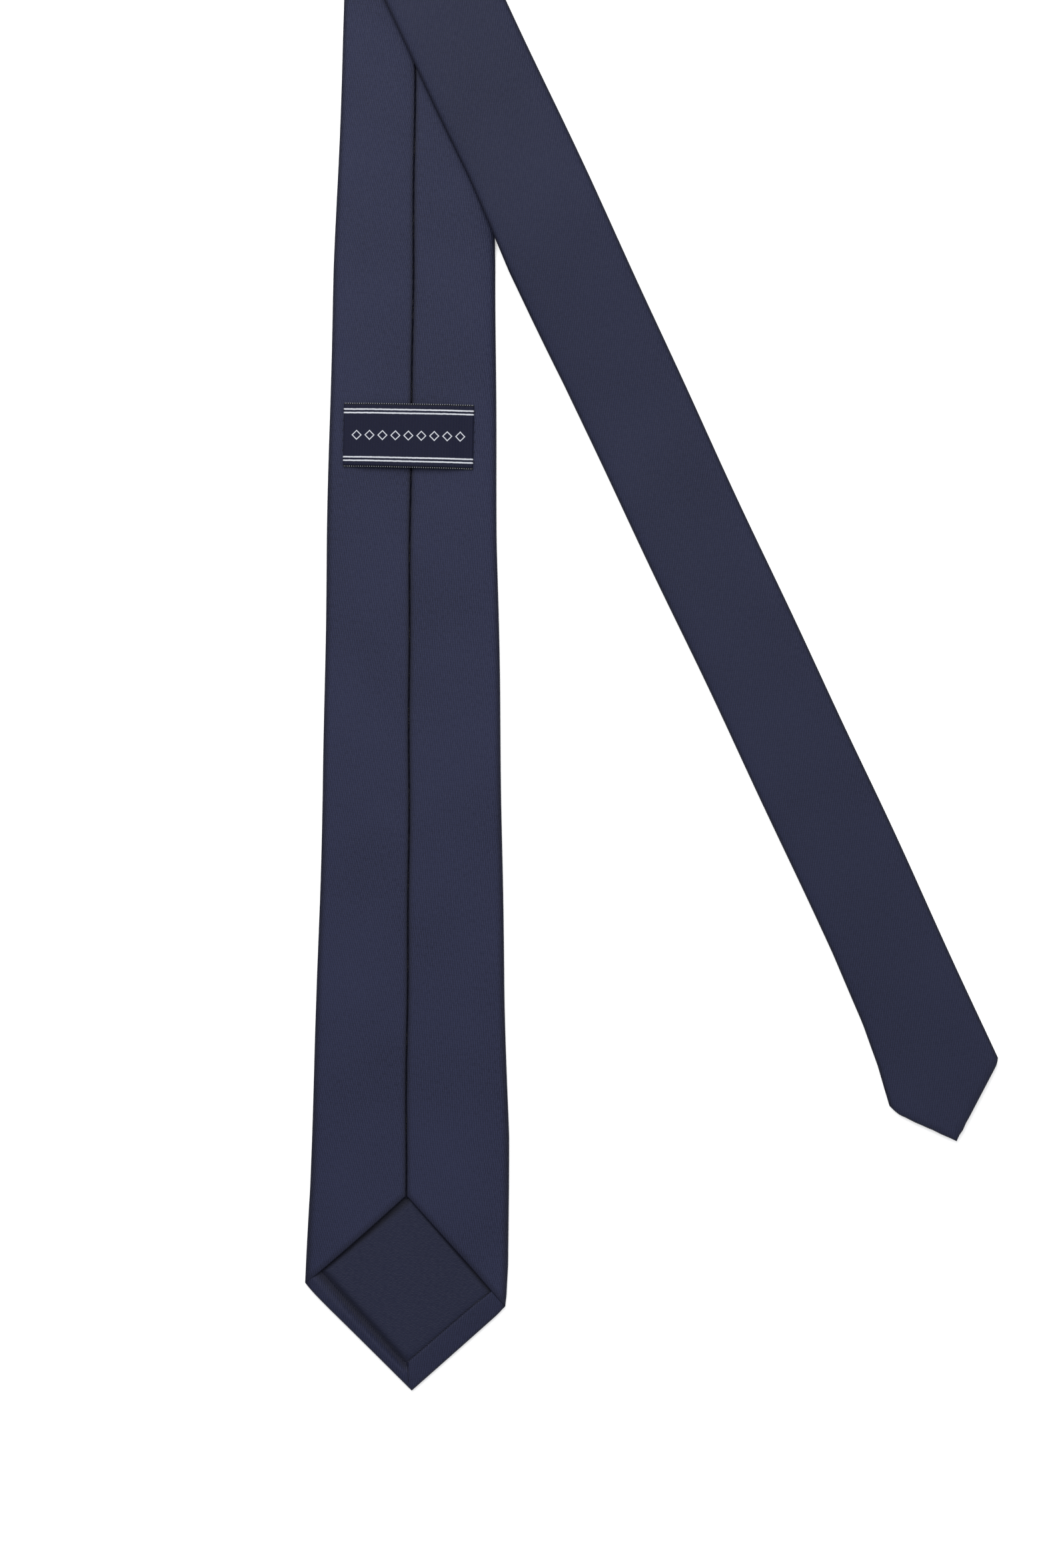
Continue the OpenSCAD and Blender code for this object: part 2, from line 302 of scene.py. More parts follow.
def end_start(end, column):
    """How far from the point the cloth's finished edge is, at a column."""
    face, side, share, _, _ = column
    corner = end["left"] if side < 0 else end["right"]
    rounding = end["round"][0 if side < 0 else 1]
    soft = rounding * max(0.0, (share - 0.88) / 0.12) ** 2
    if end is TAIL_END and side < 0:
        # The tail's left edge is a little uneven.
        soft += 0.16 * math.sin(9.0 * share) * math.sin(31.0 * share)
    if face == "front":
        reach = abs(corner[0])
        middle = end["point"][0] * side
        level = corner[1] * (share * reach - middle) / (reach - middle)
        if share * reach < middle:
            other = end["right"] if side < 0 else end["left"]
            level = other[1] * (middle - share * reach) / (abs(other[0]) + middle)
        return level + soft
    return corner[1] + (end["apex"] - corner[1]) * (1 - share) + soft * share


def hem_edge(end, across):
    """Distance from the point to the turned hem's inner edge. The wider side laps the other."""
    edges = []
    for corner, (at_point, at_corner) in zip((end["left"], end["right"]), end["hem"]):
        reach = corner[0] - end["point"][0]
        slant = math.hypot(reach, corner[1]) / abs(reach)
        share = (across - end["point"][0]) / reach
        edges.append(slant * at_point + (corner[1] + slant * (at_corner - at_point)) * share)
    return max(edges)


HEM_ROWS = 9
NOSE_ROWS = 9
END_ROWS = HEM_ROWS + NOSE_ROWS


def end_rows(end, column, across):
    """Rows round the finished edge, as (distance from the point, turned share, hem share)."""
    start = end_start(end, column)
    if column[0] == "front":
        nose = 0.95
        hem = hem_edge(end, across) - start - nose
    else:
        nose, hem = 0.45, 9.0
    rows = [(start + nose + hem * (1 - k / HEM_ROWS), 1.0, 1 - k / HEM_ROWS)
            for k in range(HEM_ROWS)]
    for k in range(NOSE_ROWS):
        angle = math.radians(90 - 180 * k / (NOSE_ROWS - 1))
        rows.append((start + nose * (1 - math.cos(angle)), 0.5 + 0.5 * math.sin(angle), 0.0))
    return rows


def turned_height(column, along, turned, hem_share):
    """Height of the cloth as it turns over at the finished edge, from outer face to hem. The
    left hem is a soft roll, which dips to the lining along its inner edge."""
    outer = height_of(column, along)
    face, side, share, _, _ = column
    half = thickness(along) / 2
    swell = half * math.sqrt(max(0.0, 1 - share ** SQUARENESS))
    if face == "front":
        # The left hem laps over the right one at the point, and ends there in a small step.
        if side < 0 and share > LAP_AT:
            level = 0.78 - 0.27 * smooth((hem_share - 0.3) / 0.7)
            roll = 0.50 * math.sin(math.pi * min(1.0, hem_share / 0.7))
        else:
            level, roll = 0.77, 0.10 * math.sin(math.pi * hem_share)
        hem = outer + 2 * swell * level + roll * min(1.0, swell / half)
    else:
        hem = outer - min(2 * TURN_RADIUS, 1.6 * swell)
    return outer + (hem - outer) * turned


def painted_shade(column, along, from_end=math.inf, hem_share=0.0):
    """How much painted shade darkens the cloth, from 0 to 1: along its folded sides, at the seam, round the
    finished edges, a little over the front hems, and most in the lap of the rolled left hem."""
    face, side, share, _, drop = column
    shade_depth = 0.85 * smooth((share - 0.92) / 0.08)
    shade_depth = max(shade_depth, 0.75 * math.exp(-(from_end / 0.9) ** 2))
    if face == "back":
        from_seam = share * half_width(side, along)
        shade_depth = max(shade_depth, 0.6 * math.exp(-(from_seam / 0.6) ** 2), 1.0 if drop > 0 else 0.0)
    elif hem_share > 0:
        shade_depth = max(shade_depth, 0.2 * smooth(hem_share / 0.15))
        if side < 0 and share > LAP_AT:
            shade_depth = max(shade_depth, 0.85 * smooth((hem_share - 0.35) / 0.55))
        elif side < 0 and share > LAP_AT - 0.007:
            # The one column beside the lap is its shadow.
            shade_depth = max(shade_depth, 0.7)
    return shade_depth


def along_from(end, distance):
    """Distance along the tie of a place at a distance from one of its points."""
    return distance if end is WIDE_END else LENGTH - distance


def pointed_shell_point(end, column, row, rows):
    """One point of the wide blade or the tail, walked from its point to its join seam: its place, its place
    on the flat pattern, and how much painted shade darkens it."""
    wide = end is WIDE_END
    join = BLADE_JOIN if wide else LENGTH - TAIL_JOIN
    lean = 1.0 if wide else -1.0
    last = rows - len(JOIN_ROWS)
    inset, turned, hem_share = 0.0, 0.0, 0.0
    join_distance = join + lean * across_of(column, along_from(end, join))
    near = across_of(column, along_from(end, end_start(end, column)))
    if row < END_ROWS:
        distance, turned, hem_share = end_rows(end, column, near)[row]
    elif row < last:
        first = end_rows(end, column, near)[-1][0]
        share = (row - END_ROWS + 1) / (last - END_ROWS + 1)
        distance = first + (join_distance - JOIN_ROWS[-1][0] - first) * share
    else:
        away, inset = JOIN_ROWS[last - 1 - row]
        distance = join_distance - away
    along = along_from(end, distance)
    across = across_of(column, along)
    if turned:
        height = turned_height(column, along, turned, hem_share)
    else:
        height = height_of(column, along, inset)
    shade_depth = painted_shade(column, along, distance - end_start(end, column), hem_share)
    return laid(along, across, height), (developed(column, along), along), shade_depth


def fold_arc(step):
    """The angle of one row round the neck's fold."""
    return math.pi * ((step + 0.5) / FOLD_ROWS - 0.5)


def neck_point(column, row, rows):
    """One point of the neck, which runs from one join seam, round the fold, to the other."""
    each = (rows - FOLD_ROWS) // 2
    flat_rows = each - len(JOIN_ROWS)
    inset, arc = 0.0, None
    across = across_of(column, FOLD_AT)
    fold_along = FOLD_AT - math.tan(FOLD_TURN) * across
    if row < each:
        start = BLADE_JOIN + across_of(column, BLADE_JOIN)
        if row < len(JOIN_ROWS):
            away, inset = JOIN_ROWS[row]
            along = start + away
        else:
            first = start + JOIN_ROWS[-1][0]
            along = first + (fold_along - first) * (row - len(JOIN_ROWS) + 1) / flat_rows
    elif row < each + FOLD_ROWS:
        arc = fold_arc(row - each)
        along = FOLD_AT
    else:
        start = TAIL_JOIN + across_of(column, TAIL_JOIN)
        back = rows - 1 - row
        if back < len(JOIN_ROWS):
            away, inset = JOIN_ROWS[back]
            along = start - away
        else:
            last = start - JOIN_ROWS[-1][0]
            along = last + (fold_along - last) * (back - len(JOIN_ROWS) + 1) / flat_rows
            along = max(along, fold_along + 1e-4)
    if arc is None:
        across = across_of(column, along)
    height = height_of(column, along, inset)
    if arc is not None:
        pattern = (developed(column, along), along + arc * FOLD_CLOTH)
        return laid(along, across, height, arc), pattern, painted_shade(column, along)
    # The two layers part exactly on the fold line, which leans across the tie.
    if row >= each + FOLD_ROWS:
        place = draped(TURN_OVER @ past_fold(along, across, height))
    else:
        place = before_fold(along, across, height)
    return place, (developed(column, along), along), painted_shade(column, along)


# --- Making pieces -------------------------------------------------------------------------------

def sizes():
    return bpy.context.scene.tie_sizes


def colours():
    return bpy.context.scene.tie_colours


def cloth_grid(name, columns, rows, placing, outward):
    """A sheet of columns by rows points, each put where placing says, with its pattern as UVs and the amount
    of its painted shade as an attribute. outward(mesh) tells whether the faces point out."""
    bm = bmesh.new()
    bmesh.ops.create_grid(bm, x_segments=columns - 1, y_segments=rows - 1, size=0.5)
    uv_layer = bm.loops.layers.uv.new("pattern")
    painted_shade_layer = bm.verts.layers.float.new("painted_shade")
    patterns = {}
    for vert in bm.verts:
        column = round((vert.co.x + 0.5) * (columns - 1))
        row = round((vert.co.y + 0.5) * (rows - 1))
        place, pattern, *shade_depth = placing(column, row)
        vert.co = place * MM
        vert[painted_shade_layer] = shade_depth[0] if shade_depth else 0.0
        patterns[vert] = (pattern[0] * MM, pattern[1] * MM)
    for face in bm.faces:
        for loop in face.loops:
            loop[uv_layer].uv = patterns[loop.vert]
    bm.normal_update()
    if not outward(bm):
        bmesh.ops.reverse_faces(bm, faces=bm.faces[:])
    return finished(name, bm)


def finished(name, bm):
    """An object at the origin from a bmesh, shaded smooth."""
    for face in bm.faces:
        face.smooth = True
    mesh = bpy.data.meshes.new(name)
    bm.to_mesh(mesh)
    bm.free()
    piece = bpy.data.objects.new(name, mesh)
    bpy.context.scene.collection.objects.link(piece)
    return piece


def thicken(piece, thickness_mm, offset=-1.0):
    """Gives a sheet its cloth's thickness, inwards from the modelled face."""
    solidify = piece.modifiers.new("Cloth thickness", "SOLIDIFY")
    solidify.thickness = thickness_mm * MM
    solidify.offset = offset
    solidify.use_even_offset = False


def pointed_shell(name, end, length):
    """The wide blade's or the tail's cut piece of cloth."""
    rows = END_ROWS + round(length / ROW_STEP) + len(JOIN_ROWS)
    shell = cloth_grid(name, len(COLUMNS), rows,
                       lambda column, row: pointed_shell_point(end, COLUMNS[column], row, rows),
                       swells_out)
    thicken(shell, sizes().cloth / MM)
    return shell


def stands_in(piece, material, slot, *nodes):
    """Gives a piece its material and hides the solids that it replaces. slot is not used."""
    piece.data.materials.append(material)
    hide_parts(*nodes)


def faces_up(bm):
    """True if most of the sheet's area faces up."""
    return sum(face.normal.z * face.calc_area() for face in bm.faces) > 0


def swells_out(bm):
    """True if a closed tube's faces point away from its inside."""
    return bm.calc_volume(signed=True) > 0


def bend_at_blade_lift(piece):
    """Cloth starts to lift at the hinge line and has turned wholly a short way below it."""
    start = Vector(JOINTS["blade_lift"]["pos_m"])
    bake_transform(piece, "neck_base", "blade_end", start=start,
             end=start - Vector((0.0, sizes().blade_bend, 0.0)))
    straighten_gently(piece)


def bend_at_tail_lift(piece):
    """The tail end's bend, a short way past its own hinge line."""
    start = Vector(JOINTS["tail_lift"]["pos_m"])
    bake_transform(piece, "tail_leg", "tail_end", start=start,
             end=start + TAIL_DIRECTION * sizes().tail_bend)
    straighten_gently(piece)


def straighten_gently(piece):
    """Most of a bend's turn comes at its start, and it runs into the lifted end without a kink."""
    for share in piece.data.attributes["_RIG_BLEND"].data:
        share.value = 1 - (1 - share.value) ** 2


def bend_round_fold(piece):
    """Cloth turns evenly with its angle round the neck's fold, so that it opens out flat."""
    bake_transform(piece, "neck_base", "tail_leg", start=FOLD_CENTRE * MM - Vector((0, 0, MM)),
             end=FOLD_CENTRE * MM + Vector((0, 0, MM)))
    shares = []
    for vert in piece.data.vertices:
        from_axis = vert.co / MM - FOLD_CENTRE
        out = from_axis.dot(FOLD_OUT)
        if out <= 0:
            shares.append(1.0 if from_axis.z > 0 else 0.0)
        else:
            shares.append(math.atan2(from_axis.z, out) / math.pi + 0.5)
    piece.data.attributes["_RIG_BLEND"].data.foreach_set("value", shares)


# --- Materials -----------------------------------------------------------------------------------

def linear(hex_colour):
    """An sRGB hex colour as linear RGBA."""
    values = [int(hex_colour[i:i + 2], 16) / 255 for i in (1, 3, 5)]
    return [v / 12.92 if v <= 0.04045 else ((v + 0.055) / 1.055) ** 2.4 for v in values] + [1.0]


def add_node(tree, kind, inputs=None, **settings):
    """Adds a node, sets its properties, and fills its inputs with values or links."""
    node = tree.nodes.new(kind)
    for key, value in settings.items():
        setattr(node, key, value)
    for key, value in (inputs or {}).items():
        if isinstance(value, bpy.types.NodeSocket):
            tree.links.new(value, node.inputs[key])
        else:
            node.inputs[key].default_value = value
    return node


def reckoned(tree, operation, *values, use_clamp=False):
    """The result of one step of arithmetic on numbers or sockets."""
    node = add_node(tree, "ShaderNodeMath", dict(enumerate(values)), operation=operation,
                    use_clamp=use_clamp)
    return node.outputs["Value"]


def ranged(tree, value, from_min, from_max, to_min, to_max):
    """A socket's value, moved from one range to another and kept inside it."""
    node = add_node(tree, "ShaderNodeMapRange",
                    {"Value": value, "From Min": from_min, "From Max": from_max,
                     "To Min": to_min, "To Max": to_max})
    return node.outputs["Result"]


def mixed(tree, share, first, second, blend_type="MIX"):
    """The colour between two others, each a constant or a socket."""
    # A mix node's colour sockets share their names with hidden ones, so they go by number.
    mix = add_node(tree, "ShaderNodeMix", {"Factor": share, 6: first, 7: second},
                   data_type="RGBA", blend_type=blend_type)
    return mix.outputs[2]


def emboss(tree, shader, height, strength, depth_mm):
    """Raises a material's surface by a height."""
    bump = add_node(tree, "ShaderNodeBump", {"Height": height, "Strength": strength,
                                             "Distance": depth_mm * MM})
    tree.links.new(bump.outputs["Normal"], shader.inputs["Normal"])


def wave_scale(pitch_mm):
    """The scale at which a wave texture has one crest every so many millimetres."""
    return 0.31416 / (pitch_mm * MM)


def new_material(name, roughness):
    """A material with a Principled shader, and its node tree."""
    material = bpy.data.materials.new(name)
    material.use_nodes = True
    shader = material.node_tree.nodes["Principled BSDF"]
    shader.inputs["Roughness"].default_value = roughness
    return material, material.node_tree, shader


def ribbed_satin(name, dark, light, lean_degrees, pitch_mm, contrast, breaks, sheen_tint):
    """Worsted-look satin, woven with a fine raised twill: short broken ribs that catch the light,
    a faint cross weave, and slow shifts of tone where the cloth was pressed."""
    material, tree, shader = new_material(name, 0.62)
    shader.inputs["Sheen Weight"].default_value = 0.03
    shader.inputs["Sheen Roughness"].default_value = 0.45
    shader.inputs["Sheen Tint"].default_value = linear(sheen_tint)
    shader.inputs["Specular IOR Level"].default_value = 0.2
    pattern = add_node(tree, "ShaderNodeUVMap", uv_map="pattern")
    turned = add_node(tree, "ShaderNodeMapping",
                      {"Vector": pattern.outputs["UV"],
                       "Rotation": (0.0, 0.0, math.radians(lean_degrees))})
    ribs = add_node(tree, "ShaderNodeTexWave",
                    {"Vector": turned.outputs["Vector"], "Scale": wave_scale(pitch_mm),
                     "Distortion": 2.4, "Detail": 2.0, "Detail Scale": 1.4},
                    wave_type="BANDS", bands_direction="X")
    # Fibres break each rib into strokes two to three millimetres long.
    stretched = add_node(tree, "ShaderNodeMapping",
                         {"Vector": turned.outputs["Vector"],
                          "Scale": (1 / (pitch_mm * MM), 1 / (1.7 * MM), 1.0)})
    fibres = add_node(tree, "ShaderNodeTexNoise",
                      {"Vector": stretched.outputs["Vector"], "Scale": 1.3, "Detail": 1.0,
                       "Roughness": 0.5}, noise_dimensions="2D")
    strokes = ranged(tree, fibres.outputs["Fac"], 0.3, 0.66, 1 - breaks, 1.0)
    cross = add_node(tree, "ShaderNodeTexWave",
                     {"Vector": turned.outputs["Vector"], "Scale": wave_scale(1.3 * pitch_mm),
                      "Distortion": 2.0, "Detail": 1.0, "Detail Scale": 0.5},
                     wave_type="BANDS", bands_direction="Y")
    slow = add_node(tree, "ShaderNodeTexNoise",
                    {"Vector": pattern.outputs["UV"], "Scale": 1 / 0.035, "Detail": 2.0},
                    noise_dimensions="2D")
    broken = reckoned(tree, "MULTIPLY", ribs.outputs["Fac"], strokes)
    woven = reckoned(tree, "MULTIPLY_ADD", cross.outputs["Fac"], 0.12, broken)
    tone = reckoned(tree, "MULTIPLY_ADD", slow.outputs["Fac"], 0.35, woven)
    spread = ranged(tree, tone, 0.10, 0.80, 0.5 - contrast / 2, 0.5 + contrast / 2)
    colour = mixed(tree, spread, linear(dark), linear(light))
    # Painted shade: the colour is darkened by the shade attribute along the tie's folded sides, seam and
    # finished edges, in the rolled left hem's lap and round the lining's edges.
    shade_depth = add_node(tree, "ShaderNodeAttribute", attribute_name="painted_shade")
    shaded_colour = mixed(tree, shade_depth.outputs["Fac"], colour, (0.22, 0.20, 0.25, 1.0), "MULTIPLY")
    tree.links.new(shaded_colour, shader.inputs["Base Color"])
    tree.links.new(ranged(tree, strokes, 0.0, 1.0, 0.70, 0.54), shader.inputs["Roughness"])
    emboss(tree, shader, woven, 0.55, 0.12)
    return material


def woven_ribbon():
    """Jacquard label ribbon, heat-cut along its long edges: dark satin ground with fine cross
    ribs, two pairs of raised white lines and a row of small white lozenges."""
    tint = colours()
    material, tree, shader = new_material("Woven jacquard ribbon", 0.5)
    shader.inputs["Sheen Weight"].default_value = 0.03
    shader.inputs["Sheen Roughness"].default_value = 0.4
    shader.inputs["Specular IOR Level"].default_value = 0.15
    pattern = add_node(tree, "ShaderNodeUVMap", uv_map="pattern")
    wobble = add_node(tree, "ShaderNodeTexNoise",
                      {"Vector": pattern.outputs["UV"], "Scale": 1 / 0.0011, "Detail": 1.0},
                      noise_dimensions="2D")
    shift = reckoned(tree, "SUBTRACT", wobble.outputs["Fac"], 0.5)
    axes = add_node(tree, "ShaderNodeSeparateXYZ", {"Vector": pattern.outputs["UV"]})
    height = reckoned(tree, "MULTIPLY_ADD", shift, 0.12 * MM, axes.outputs["Y"])
    mirrored = reckoned(tree, "ABSOLUTE", height)

    def line(middle_mm):
        """1 on a woven line at a distance from the ribbon's middle, 0 away from it."""
        away = reckoned(tree, "ABSOLUTE", reckoned(tree, "SUBTRACT", mirrored, middle_mm * MM))
        return ranged(tree, away, 0.147 * MM, 0.273 * MM, 1.0, 0.0)

    lines = reckoned(tree, "MAXIMUM", line(7.55), line(6.52))
    # Lozenges: |x within its repeat| and |y| add up to the outline's half size.
    repeat = reckoned(tree, "PINGPONG", axes.outputs["X"], sizes().lozenge_pitch)
    outline = reckoned(tree, "SUBTRACT", reckoned(tree, "ADD", repeat, mirrored),
                       sizes().lozenge_half)
    lozenge = ranged(tree, reckoned(tree, "ABSOLUTE", outline), 0.13 * MM, 0.25 * MM, 1.0, 0.0)
    in_row = reckoned(tree, "LESS_THAN", reckoned(tree, "ABSOLUTE", axes.outputs["X"]),
                      sizes().lozenge_row / 2)
    figure = reckoned(tree, "MAXIMUM", lines, reckoned(tree, "MULTIPLY", lozenge, in_row))
    threads = add_node(tree, "ShaderNodeTexWave",
                       {"Vector": pattern.outputs["UV"], "Scale": wave_scale(0.34),
                        "Distortion": 0.8}, wave_type="BANDS", bands_direction="X")
    broken = ranged(tree, threads.outputs["Fac"], 0.0, 1.0, 0.62, 1.0)
    white = reckoned(tree, "MULTIPLY", figure, broken)
    ground = mixed(tree, threads.outputs["Fac"], linear(tint.band_dark), linear(tint.band))
    # The heat-cut edges are a rough black line.
    rim = ranged(tree, mirrored, 8.7 * MM, 9.1 * MM, 0.0, 1.0)
    rimmed = mixed(tree, rim, ground, linear(tint.rim))
    # The weft shows as a row of pale dots where it turns back at each edge.
    turns = reckoned(tree, "PINGPONG", axes.outputs["X"], 0.33 * MM)
    dot = reckoned(tree, "LESS_THAN", turns, 0.11 * MM)
    near_edge = reckoned(tree, "GREATER_THAN", mirrored, 9.08 * MM)
    pale = reckoned(tree, "MULTIPLY_ADD", reckoned(tree, "MULTIPLY", dot, near_edge), 0.45, white,
                    use_clamp=True)
    tree.links.new(mixed(tree, pale, rimmed, linear(tint.white)), shader.inputs["Base Color"])
    raised = reckoned(tree, "MULTIPLY_ADD", figure, 1.5, threads.outputs["Fac"])
    emboss(tree, shader, raised, 0.5, 0.08)
    return material


def spun_thread():
    """Matt spun polyester sewing thread, with its twist as a fine slanting bump."""
    material, tree, shader = new_material("Spun polyester thread", 0.8)
    place = add_node(tree, "ShaderNodeTexCoord")
    twist = add_node(tree, "ShaderNodeTexWave",
                     {"Vector": place.outputs["Object"], "Scale": wave_scale(0.3),
                      "Distortion": 1.0}, wave_type="BANDS", bands_direction="DIAGONAL")
    colour = mixed(tree, twist.outputs["Fac"], linear(colours().thread), linear(colours().navy_dark))
    tree.links.new(colour, shader.inputs["Base Color"])
    emboss(tree, shader, twist.outputs["Fac"], 0.4, 0.05)
    return material


def napped_wool():
    """Brushed wool-blend interlining: off-white, with a soft short nap."""
    material, tree, shader = new_material("Napped wool interlining", 0.95)
    shader.inputs["Sheen Weight"].default_value = 0.3
    place = add_node(tree, "ShaderNodeTexCoord")
    nap = add_node(tree, "ShaderNodeTexNoise", {"Vector": place.outputs["Object"],
                                                "Scale": 1 / 0.0015, "Detail": 4.0})
    colour = mixed(tree, nap.outputs["Fac"], linear(colours().wool_dark), linear(colours().wool))
    tree.links.new(colour, shader.inputs["Base Color"])
    emboss(tree, shader, nap.outputs["Fac"], 0.6, 0.2)
    return material


def material_of(name, make):
    """A material made once and shared."""
    return bpy.data.materials.get(name) or make()


def blade_satin():
    tint = colours()
    return ribbed_satin("Blade satin", tint.navy_dark, tint.navy, sizes().blade_lean, 0.52, 0.85,
                        0.6, tint.sheen)


def tail_satin():
    tint = colours()
    return ribbed_satin("Tail satin", tint.tail_dark, tint.tail, sizes().tail_lean, 0.52, 0.7,
                        0.6, tint.sheen)


def lining_satin():
    tint = colours()
    return ribbed_satin("Lining satin", tint.lining_dark, tint.lining, sizes().lining_lean, 0.42,
                        0.28, 0.8, tint.sheen)


# --- The user's settings -------------------------------------------------------------------------

class TieSizes(bpy.types.PropertyGroup):
    """Sizes of the cloth, its bends and its trimmings."""
    cloth: FloatProperty(name="Shell cloth", description="Thickness of the shell cloth",
                         default=0.00038, unit="LENGTH")
    lining: FloatProperty(name="Lining", description="Thickness of the lining", default=0.0003,
                          unit="LENGTH")
    interlining: FloatProperty(name="Interlining", description="Thickness of the interlining",
                               default=0.0006, unit="LENGTH")
    ribbon: FloatProperty(name="Ribbon", description="Thickness of the keeper ribbon",
                          default=0.00034, unit="LENGTH")
    blade_bend: FloatProperty(name="Blade bend", default=0.026, unit="LENGTH",
                              description="Length of cloth that curves as the wide end lifts")
    tail_bend: FloatProperty(name="Tail bend", default=0.030, unit="LENGTH",
                             description="Length of cloth that curves as the tail end lifts")
    blade_lean: FloatProperty(name="Blade rib lean", default=-7.0,
                              description="Lean of the blade's ribs from its length, in degrees")
    tail_lean: FloatProperty(name="Tail rib lean", default=-18.0,
                             description="Lean of the tail's ribs from its length, in degrees")
    lining_lean: FloatProperty(name="Lining rib lean", default=72.0,
                               description="Lean of the lining's ribs from its length, in degrees")
    keeper_width: FloatProperty(name="Keeper width", default=0.0382, unit="LENGTH",
                                description="Length of the keeper ribbon across the blade")
    keeper_length: FloatProperty(name="Keeper length", default=0.0186, unit="LENGTH",
                                 description="Width of the keeper ribbon along the blade")
    lozenge_pitch: FloatProperty(name="Lozenge pitch", default=0.0019, unit="LENGTH",
                                 description="Half of the distance between two woven lozenges")
    lozenge_half: FloatProperty(name="Lozenge size", default=0.0013, unit="LENGTH",
                                description="Half of a woven lozenge's width")
    lozenge_row: FloatProperty(name="Lozenge row", default=0.0342, unit="LENGTH",
                               description="Length of the row of woven lozenges")


class TieColours(bpy.types.PropertyGroup):
    """Colours of the cloth, ribbon and threads, as sRGB hex values."""
    navy: StringProperty(name="Navy", description="Crests of the blade's ribs", default="#292d49")
    navy_dark: StringProperty(name="Navy dark", description="Hollows of the blade's ribs",
                              default="#0a0d21")
    tail: StringProperty(name="Tail navy", description="Crests of the tail's ribs",
                         default="#262a44")
    tail_dark: StringProperty(name="Tail navy dark", description="Hollows of the tail's ribs",
                              default="#0a0d20")
    lining: StringProperty(name="Lining", description="Crests of the lining's ribs",
                           default="#242842")
    lining_dark: StringProperty(name="Lining dark", description="Hollows of the lining's ribs",
                                default="#090c20")
    sheen: StringProperty(name="Sheen", description="Colour of the satin's sheen",
                          default="#8f96b4")
    band: StringProperty(name="Ribbon", description="The keeper ribbon's ground", default="#0e1230")
    band_dark: StringProperty(name="Ribbon dark", description="Between the ribbon's threads",
                              default="#06081c")
    rim: StringProperty(name="Ribbon rim", description="The ribbon's heat-cut edges",
                        default="#08080c")
    white: StringProperty(name="Ribbon white", description="The ribbon's woven lines",
                          default="#dcdfe6")
    thread: StringProperty(name="Thread", description="Sewing thread", default="#14172a")
    wool: StringProperty(name="Interlining", description="The interlining's nap", default="#cfcabb")
    wool_dark: StringProperty(name="Interlining dark", description="Under the interlining's nap",
                              default="#9c9789")
    table: StringProperty(name="Table", description="The pale table", default="#f4f4f4")


class StageSettings(bpy.types.PropertyGroup):
    """Camera and lights."""
    lens: FloatProperty(name="Lens", description="Focal length in millimetres", default=100.0)
    view_height: FloatProperty(name="View height", default=0.4612, unit="LENGTH",
                               description="Length of table that the view's long side takes in")
    view_east: FloatProperty(name="View across", default=0.03255, unit="LENGTH",
                             description="Middle of the view, to the right of the wide point")
    view_north: FloatProperty(name="View along", default=0.1783, unit="LENGTH",
                              description="Middle of the view, along the blade from its point")
    key_power: FloatProperty(name="Key light", description="Power of the soft overhead light",
                             default=9.2)
    fill: FloatProperty(name="Fill", description="Strength of the even surrounding light",
                        default=0.44)
    table_glow: FloatProperty(name="Table glow", description="Strength of the light table's glow",
                              default=0.45)


# --- Operators -----------------------------------------------------------------------------------

class TIE_OT_stage(bpy.types.Operator):
    """Adds the pale table, the soft light and the camera that looks straight down"""
    bl_idname = "tie.stage"
    bl_label = "Stage"

    # Each light's name, its place from the middle of the view, its size and its share of the power.
    lights = (("key_light", (-0.18, 0.50, 0.92), 0.7, 1.0),
              ("side_light", (0.8, -0.5, 0.8), 0.8, 0.25))

    def execute(self, context):
        settings = context.scene.tie_stage
        bm = bmesh.new()
        bmesh.ops.create_grid(bm, x_segments=1, y_segments=1, size=6.0)
        table = finished("table_top", bm)
        material, tree, shader = new_material("Pale matt table", 0.9)
        shader.inputs["Base Color"].default_value = linear(colours().table)
        shader.inputs["Specular IOR Level"].default_value = 0.0
        # A light table: its own glow keeps the shadows round the tie faint.
        shader.inputs["Emission Color"].default_value = linear(colours().table)
        shader.inputs["Emission Strength"].default_value = settings.table_glow
        table.data.materials.append(material)

        world = context.scene.world or bpy.data.worlds.new("Studio")
        context.scene.world = world
        world.use_nodes = True
        background = world.node_tree.nodes["Background"]
        background.inputs["Color"].default_value = (0.97, 0.985, 1.0, 1.0)
        background.inputs["Strength"].default_value = settings.fill

        centre = POINT * MM + Vector((settings.view_east, settings.view_north, 0.0))
        for name, offset, size, share in self.lights:
            self.add_area(context, name, centre + Vector(offset), centre, size,
                          settings.key_power * share)

        camera = bpy.data.objects.new("camera", bpy.data.cameras.new("camera"))
        context.scene.collection.objects.link(camera)
        camera.data.lens = settings.lens
        distance = settings.view_height * settings.lens / camera.data.sensor_width
        camera.location = centre + Vector((0.0, 0.0, distance))
        camera.data.clip_start = 0.01
        context.scene.camera = camera
        context.scene.view_settings.view_transform = "Standard"
        return {"FINISHED"}

    def add_area(self, context, name, place, target, size, power):
        """Adds a square soft light that faces a target."""
        light = bpy.data.objects.new(name, bpy.data.lights.new(name, "AREA"))
        light.data.size = size
        light.data.energy = power
        light.location = place
        light.rotation_euler = (target - place).to_track_quat("-Z", "Y").to_euler()
        context.scene.collection.objects.link(light)


class TIE_OT_wide_shell(bpy.types.Operator):
    """Models the wide blade: front, rolled sides, seamed back flaps and the turned hem"""
    bl_idname = "tie.wide_shell"
    bl_label = "Wide blade"

    def execute(self, context):
        shell = pointed_shell("wide_blade", WIDE_END, BLADE_JOIN)
        bend_at_blade_lift(shell)
        stands_in(shell, material_of("Blade satin", blade_satin), "shell_satin",
                  "wide_shell_lower", "wide_shell_upper")
        return {"FINISHED"}


